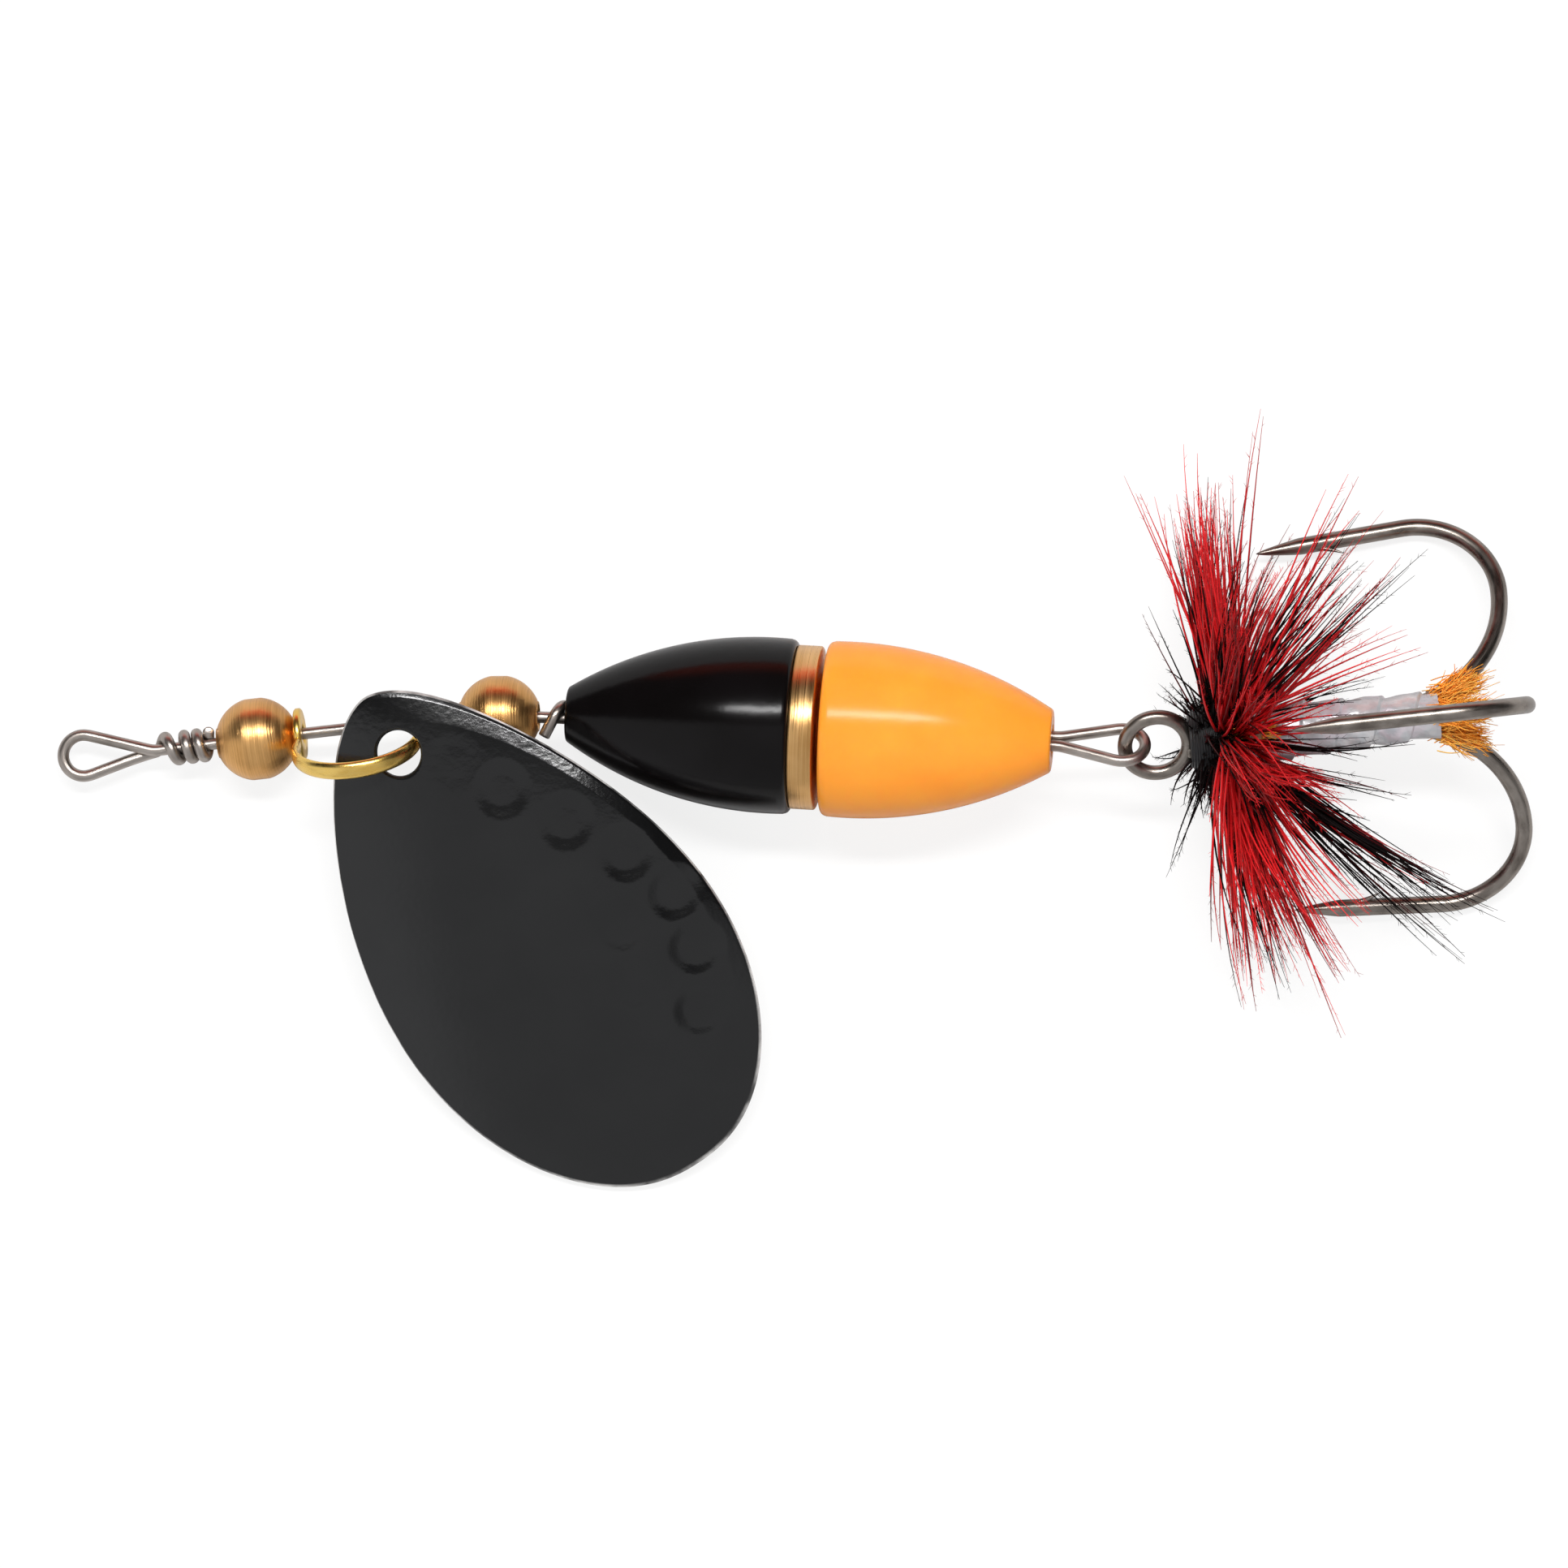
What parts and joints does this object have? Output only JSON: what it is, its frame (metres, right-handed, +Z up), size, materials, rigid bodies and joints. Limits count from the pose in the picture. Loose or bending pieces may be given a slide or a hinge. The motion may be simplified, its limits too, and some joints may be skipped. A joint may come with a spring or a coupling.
{
  "type": "inline spinner",
  "caption": "Inline spinner lure: wire shaft with a swinging oval blade on a clevis, beads, a two-part tapered body, and a hackle-dressed treble hook.",
  "frame": {"origin": "centre of the line-tie eye at the nose of the shaft", "axes": "+X along the lure from the line tie towards the hook, +Z up from the table that the lure lies on, +Y across the lure, away from the blade"},
  "size_m": [0.0908, 0.0465, 0.0266],
  "materials": {
    "spring_wire": "drawn stainless wire, satin",
    "bead_brass": "turned and brushed, slightly dull",
    "clevis_brass": "polished, gold coloured",
    "blade_black": "black nickel lacquer, glossy to satin",
    "shell_black": "high gloss",
    "core_brass": "brushed round the edge",
    "shell_orange": "high gloss, slightly translucent",
    "hook_bronze": "dark bronzed, semi-gloss",
    "thread_black": "waxed tying thread",
    "hackle_black": "feather fibres",
    "hackle_red": "dyed feather fibres",
    "floss_orange": "silk floss",
    "tinsel_silver": "crinkled metallic tape"
  },
  "bodies": {
    "shaft": {"shaft_wire": "spring_wire"},
    "front_bead": {"front_bead": "bead_brass"},
    "clevis": {"clevis": "clevis_brass"},
    "blade": {"blade": "blade_black"},
    "rear_bead": {"rear_bead": "bead_brass"},
    "body": {"front_shell": "shell_black", "body_core": "core_brass"},
    "rear_shell": {"rear_shell": "shell_orange"},
    "hook": {"hook_double": "hook_bronze", "hook_single": "hook_bronze", "thread_head": "thread_black", "hackle_black": "hackle_black", "hackle_red": "hackle_red", "floss_underbody": "floss_orange", "tinsel_wrap": "tinsel_silver", "floss_tag": "floss_orange"}
  },
  "joints": [
    {"name": "front_bead_spin", "type": "hinge", "parent": "shaft", "child": "front_bead", "pos_m": [0.01075, 0.00102, 0.00098], "axis": [0.9897, 0.1115, 0.0899], "continuous": true},
    {"name": "clevis_spin", "type": "hinge", "parent": "shaft", "child": "clevis", "pos_m": [0.01712, 0.00174, 0.00155], "axis": [0.9897, 0.1115, 0.0899], "continuous": true},
    {"name": "blade_swing", "type": "hinge", "parent": "clevis", "child": "blade", "pos_m": [0.01701, 0.00061, 0.00411], "axis": [0.1382, -0.9079, -0.3959], "range_deg": [0, 100]},
    {"name": "rear_bead_spin", "type": "hinge", "parent": "shaft", "child": "rear_bead", "pos_m": [0.02568, 0.00238, 0.00233], "axis": [0.9959, 0.0082, 0.0905], "continuous": true},
    {"name": "body_spin", "type": "hinge", "parent": "shaft", "child": "body", "pos_m": [0.04377, 0.00176, 0.00371], "axis": [0.9943, -0.0558, 0.0903], "continuous": true},
    {"name": "rear_shell_spin", "type": "hinge", "parent": "shaft", "child": "rear_shell", "pos_m": [0.04377, 0.00176, 0.00371], "axis": [0.9943, -0.0558, 0.0903], "continuous": true},
    {"name": "hook_swing", "type": "hinge", "parent": "shaft", "child": "hook", "pos_m": [0.0652, 0.00055, 0.00566], "axis": [0.1033, 0.706, -0.7006], "range_deg": [-60, 60], "deforming": ["hackle_red", "hackle_black"]}
  ]
}
